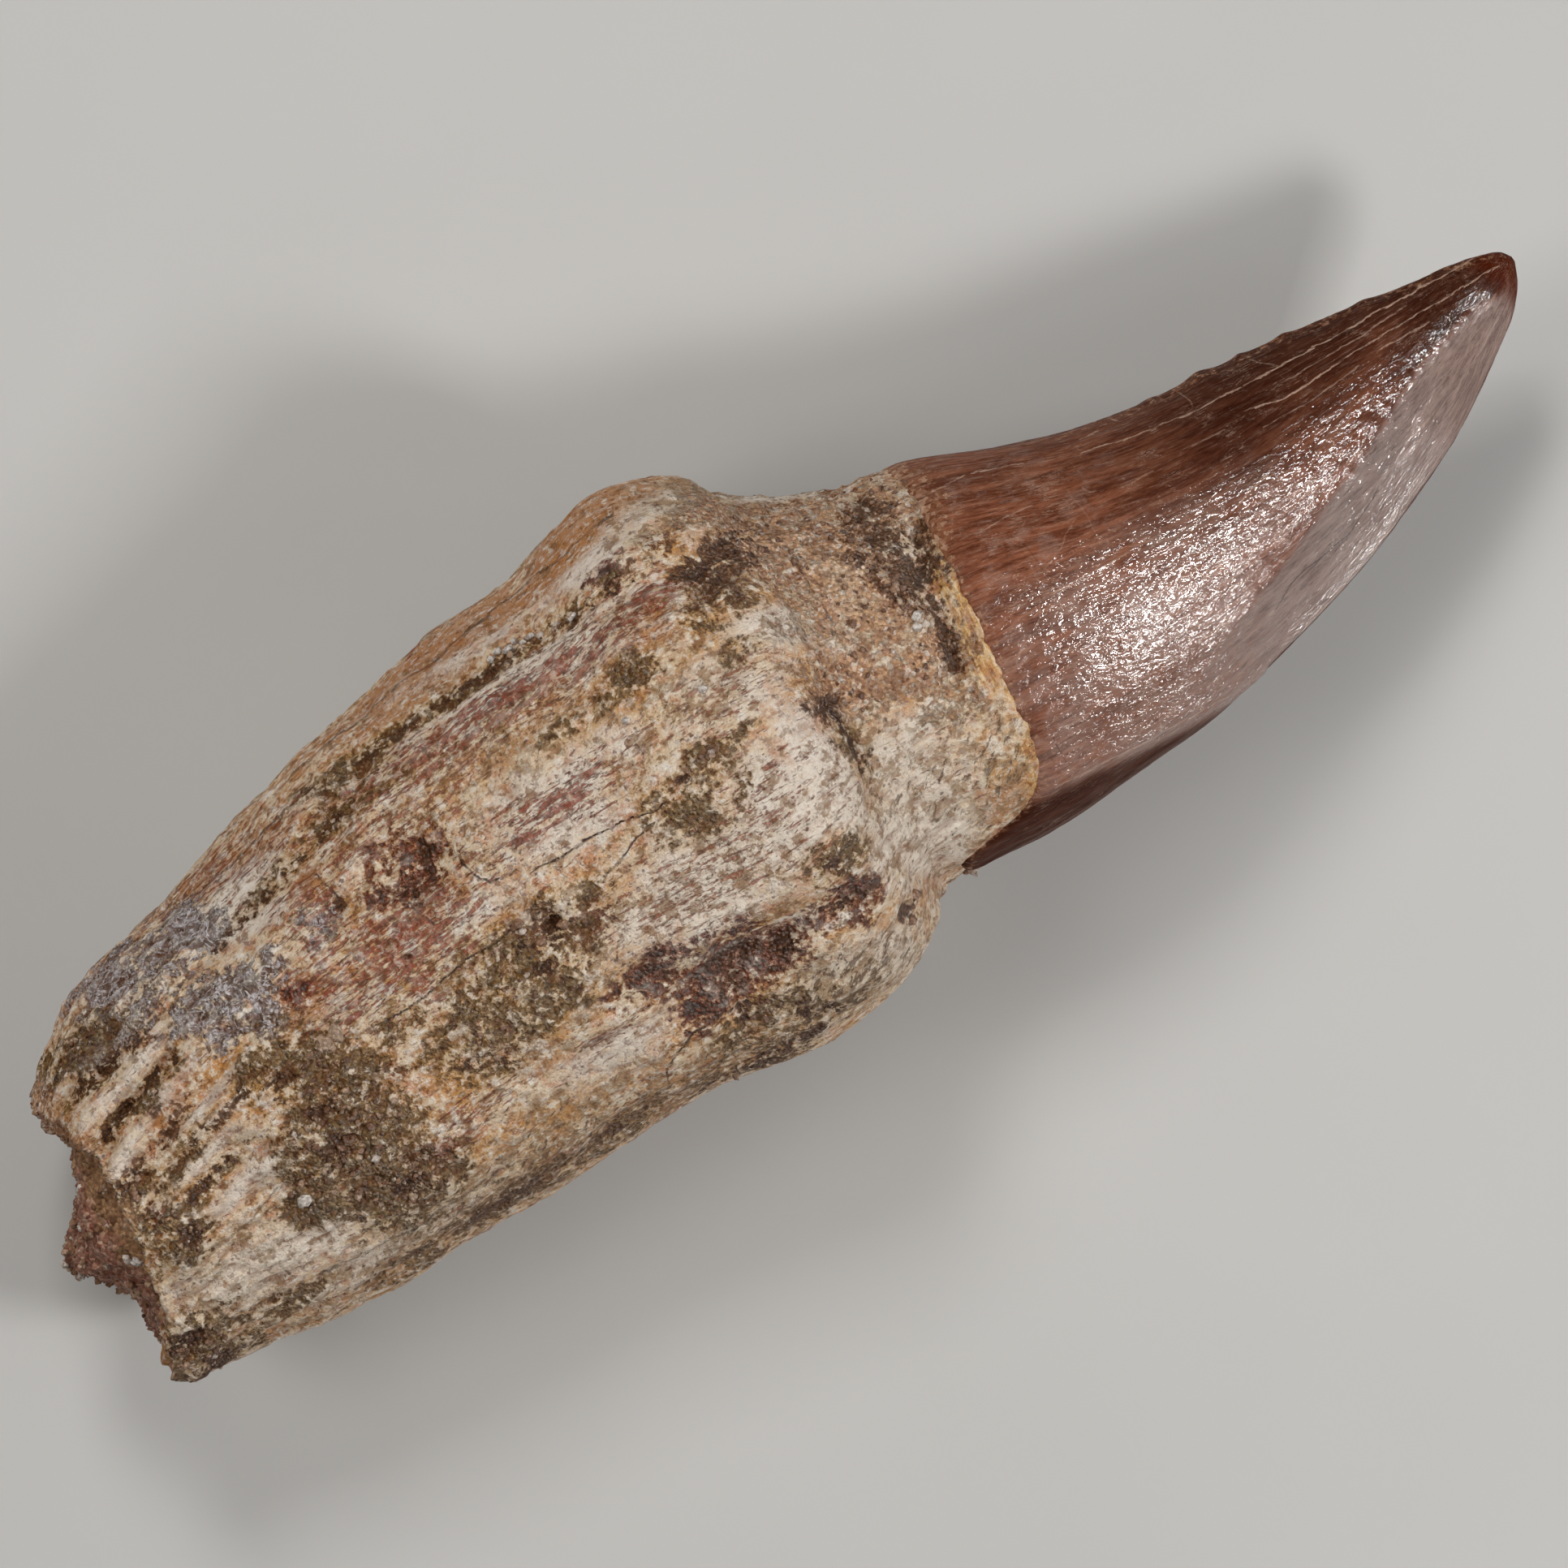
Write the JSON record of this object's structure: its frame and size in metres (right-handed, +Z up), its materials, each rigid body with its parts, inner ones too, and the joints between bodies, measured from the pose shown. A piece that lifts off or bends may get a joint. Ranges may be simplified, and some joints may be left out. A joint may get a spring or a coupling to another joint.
{
  "type": "fossil mosasaur tooth",
  "caption": "Fossil reptile tooth: pointed enamel crown on a swollen bony root with a broken end, lying on its side.",
  "frame": {"origin": "middle of the tooth's length and width, on the surface it rests on", "axes": "+X along the tooth from the broken root end to the crown tip, +Z up from the worn flat it rests on"},
  "size_m": [0.0944, 0.0316, 0.0258],
  "materials": {
    "bone": "matt, weathered, with sandy crust",
    "enamel": "glossy, finely ridged",
    "matrix": "rough, granular"
  },
  "bodies": {
    "root": {"tooth": "bone"}
  },
  "joints": []
}
